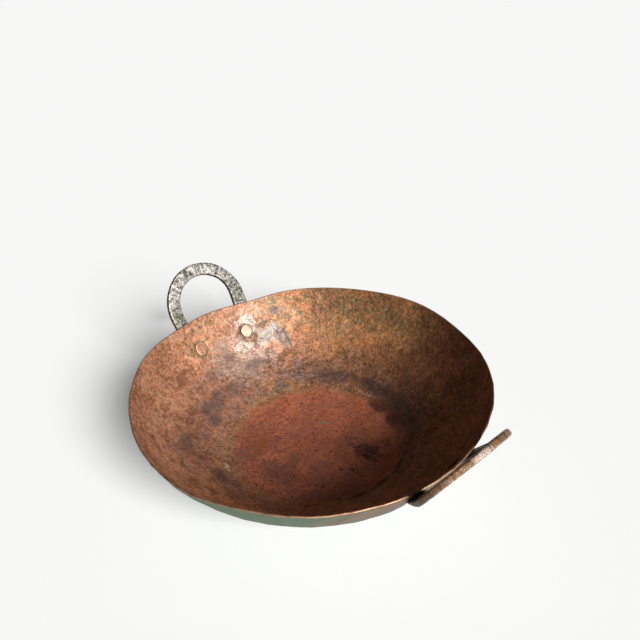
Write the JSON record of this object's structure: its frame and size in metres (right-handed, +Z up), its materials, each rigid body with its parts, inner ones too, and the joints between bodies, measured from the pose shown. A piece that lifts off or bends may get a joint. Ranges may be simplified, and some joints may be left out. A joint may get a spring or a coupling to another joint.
{
  "type": "copper pan",
  "caption": "Wide round hand-hammered copper pan with a flat base, sloping curved wall and a forged loop handle riveted on each side.",
  "frame": {"origin": "middle of the flat base's underside, on the surface that the pan stands on", "axes": "+Z up, +X towards the right handle, with the left handle at -X"},
  "size_m": [0.4539, 0.38, 0.1516],
  "materials": {
    "bowl_copper": "hammered copper, worn and tarnished",
    "handle_bronze": "forged and grey-green with age",
    "rivet_copper": "hammered copper, rubbed bright"
  },
  "bodies": {
    "root": {"pan_bowl": "bowl_copper", "right_handle": "handle_bronze", "right_handle_back_rivet": "rivet_copper", "right_handle_front_rivet": "rivet_copper", "left_handle": "handle_bronze", "left_handle_back_rivet": "rivet_copper", "left_handle_front_rivet": "rivet_copper"}
  },
  "joints": []
}
